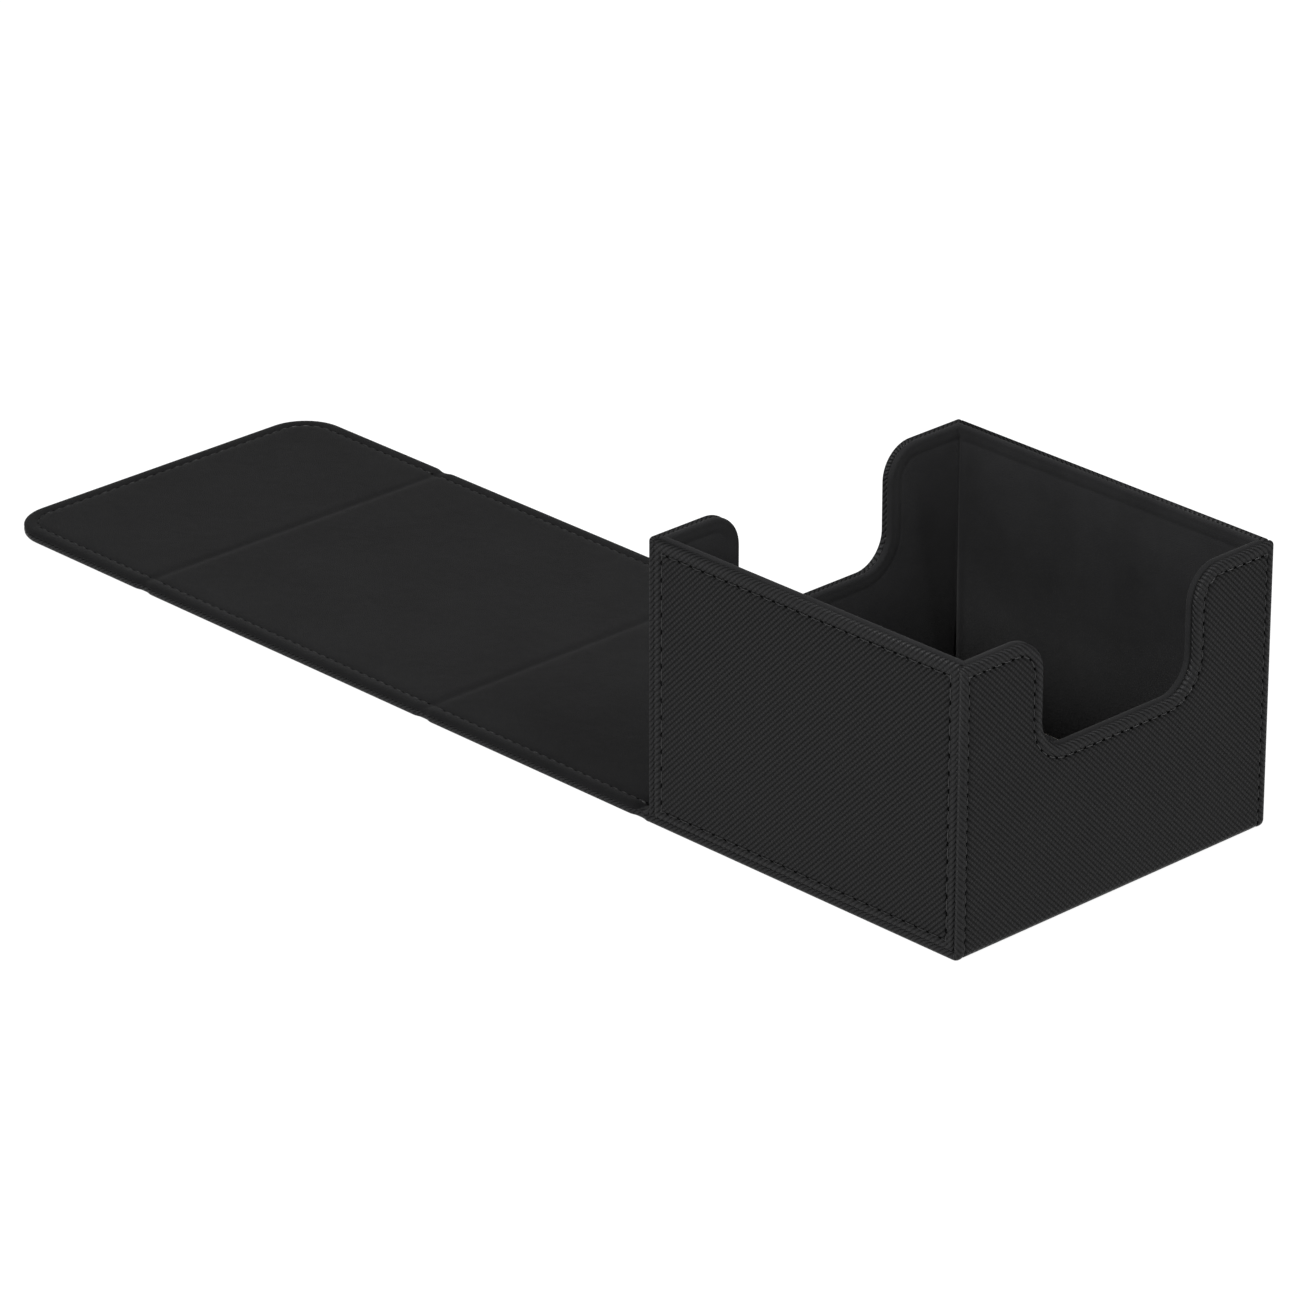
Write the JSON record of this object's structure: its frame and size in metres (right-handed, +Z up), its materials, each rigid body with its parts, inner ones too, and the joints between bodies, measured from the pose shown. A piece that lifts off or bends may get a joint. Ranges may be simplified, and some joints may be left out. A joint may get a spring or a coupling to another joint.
{
  "type": "card deck box",
  "caption": "Open-topped leatherette card box with thumb cut-outs in its side walls and a hinged three-panel cover that folds over the top and closes on magnets.",
  "frame": {"origin": "middle of the underside of the box's base, where it rests on a table", "axes": "+X points away from the cover, across the box's width; +Y runs along the cover's hinges; +Z is up, out of the box's open top"},
  "size_m": [0.339, 0.103, 0.0734],
  "materials": {
    "leatherette": "embossed matt",
    "microfibre": "matt",
    "chipboard": "matt",
    "thread": "satin",
    "magnet": "gloss"
  },
  "bodies": {
    "tray": {"base_skin": "leatherette", "base_board": "chipboard", "base_lining": "microfibre", "front_wall_skin": "leatherette", "front_wall_board": "chipboard", "front_wall_lining": "microfibre", "front_wall_stitching": "thread", "back_wall_skin": "leatherette", "back_wall_board": "chipboard", "back_wall_lining": "microfibre", "back_wall_stitching": "thread", "left_wall_skin": "leatherette", "left_wall_board": "chipboard", "left_wall_lining": "microfibre", "left_wall_stitching": "thread", "right_wall_skin": "leatherette", "right_wall_board": "chipboard", "right_wall_lining": "microfibre", "right_wall_stitching": "thread", "wall_magnets": "magnet", "base_hinge_skin": "leatherette", "base_hinge_lining": "microfibre"},
    "side_panel": {"side_panel_skin": "leatherette", "side_panel_board": "chipboard", "side_panel_lining": "microfibre", "side_panel_stitching": "thread", "top_hinge_skin": "leatherette", "top_hinge_lining": "microfibre"},
    "top_panel": {"top_panel_skin": "leatherette", "top_panel_board": "chipboard", "top_panel_lining": "microfibre", "top_panel_stitching": "thread", "end_hinge_skin": "leatherette", "end_hinge_lining": "microfibre"},
    "end_flap": {"end_flap_skin": "leatherette", "end_flap_board": "chipboard", "end_flap_lining": "microfibre", "end_flap_stitching": "thread", "flap_magnets": "magnet"}
  },
  "joints": [
    {"name": "base_hinge", "type": "hinge", "parent": "tray", "child": "side_panel", "pos_m": [-0.0541, 0, 0], "axis": [0, 1, 0], "range_deg": [0, 90], "deforming": ["base_hinge_skin", "base_hinge_lining"]},
    {"name": "top_hinge", "type": "hinge", "parent": "side_panel", "child": "top_panel", "pos_m": [-0.1298, 0, 0.001], "axis": [0, 1, 0], "range_deg": [0, 90], "deforming": ["top_hinge_skin", "top_hinge_lining"]},
    {"name": "end_hinge", "type": "hinge", "parent": "top_panel", "child": "end_flap", "pos_m": [-0.234, 0, 0.003], "axis": [0, 1, 0], "range_deg": [0, 90], "deforming": ["end_hinge_skin", "end_hinge_lining"]}
  ]
}
